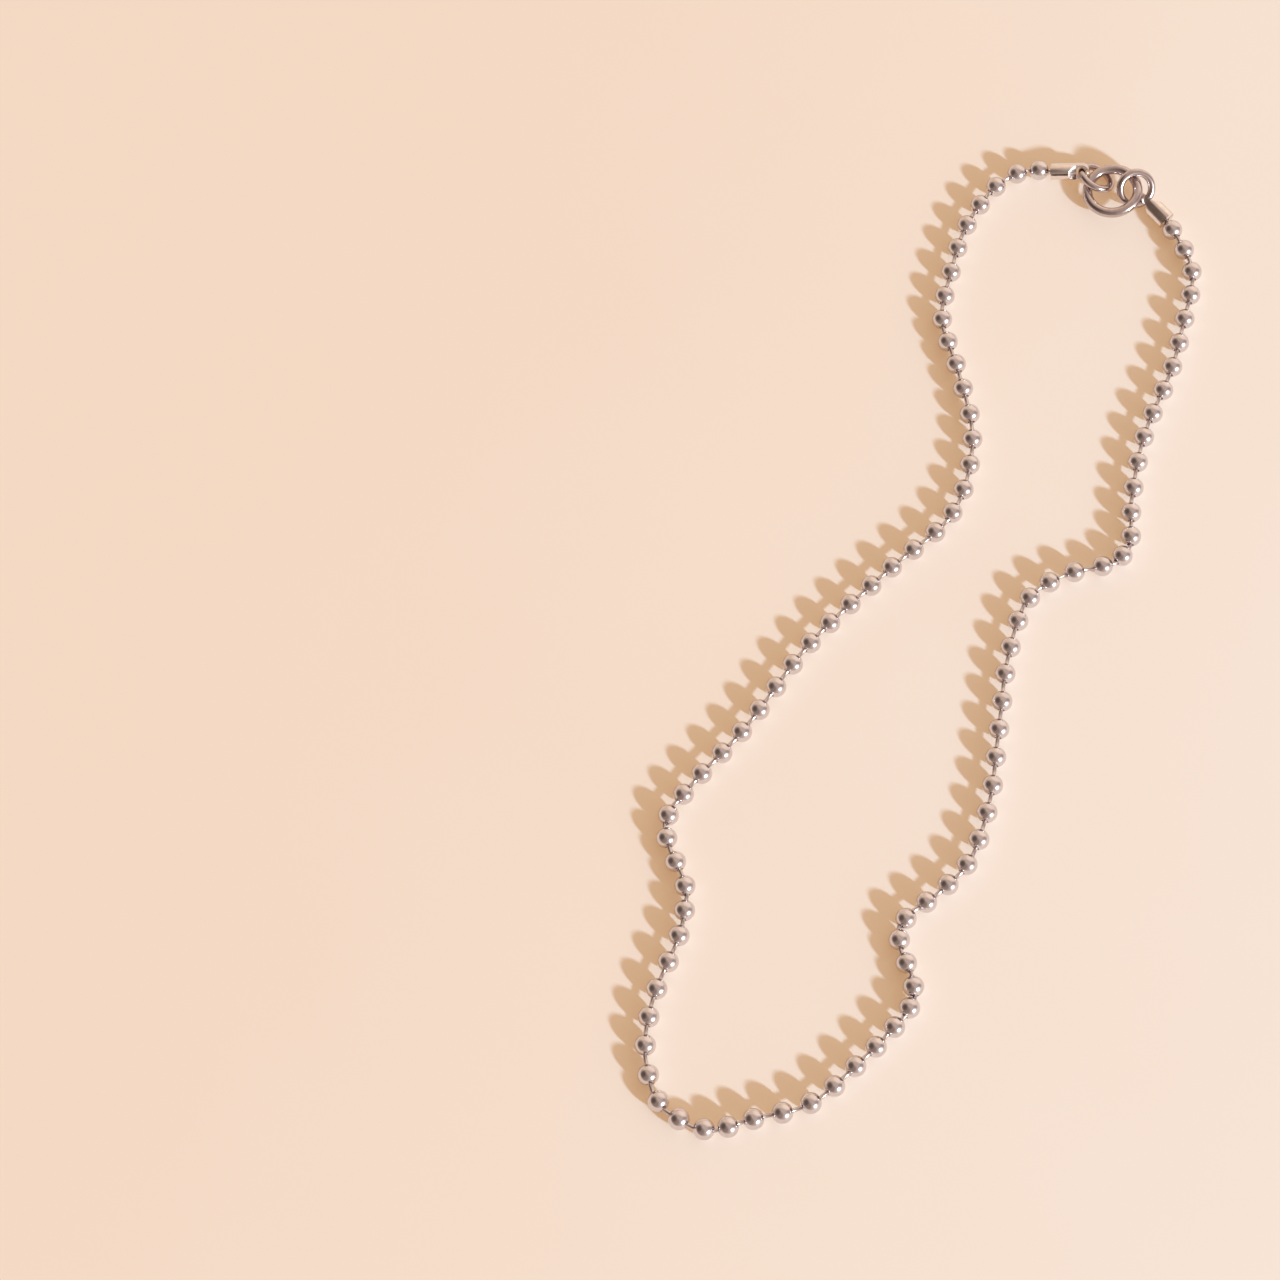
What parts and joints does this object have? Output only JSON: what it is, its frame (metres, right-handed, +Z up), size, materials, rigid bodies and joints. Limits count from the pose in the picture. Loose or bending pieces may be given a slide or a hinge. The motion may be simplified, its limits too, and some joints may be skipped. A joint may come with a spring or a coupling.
{
  "type": "ball chain necklace",
  "caption": "Steel ball chain necklace laid as a closed loop, its ends held in folded caps that hook onto two jump rings and a large ring.",
  "frame": {"origin": "middle of the laid necklace seen from above, on the surface that it lies on", "axes": "+Z up from the surface; +Y along the loop's length, towards the rings; +X to the right as seen in the picture"},
  "size_m": [0.1189, 0.1984, 0.0062],
  "materials": {
    "bead_steel": "mirror-polished stainless steel",
    "link_steel": "drawn stainless steel wire with a plain polish",
    "cap_steel": "polished stainless steel sheet, folded, with soft tool marks",
    "ring_steel": "mirror-polished stainless steel wire"
  },
  "bodies": {
    "root": {"chain_beads": "bead_steel", "chain_links": "link_steel", "end_cap_left": "cap_steel", "end_cap_right": "cap_steel", "jump_ring_left": "ring_steel", "jump_ring_right": "ring_steel", "large_ring": "ring_steel"}
  },
  "joints": []
}
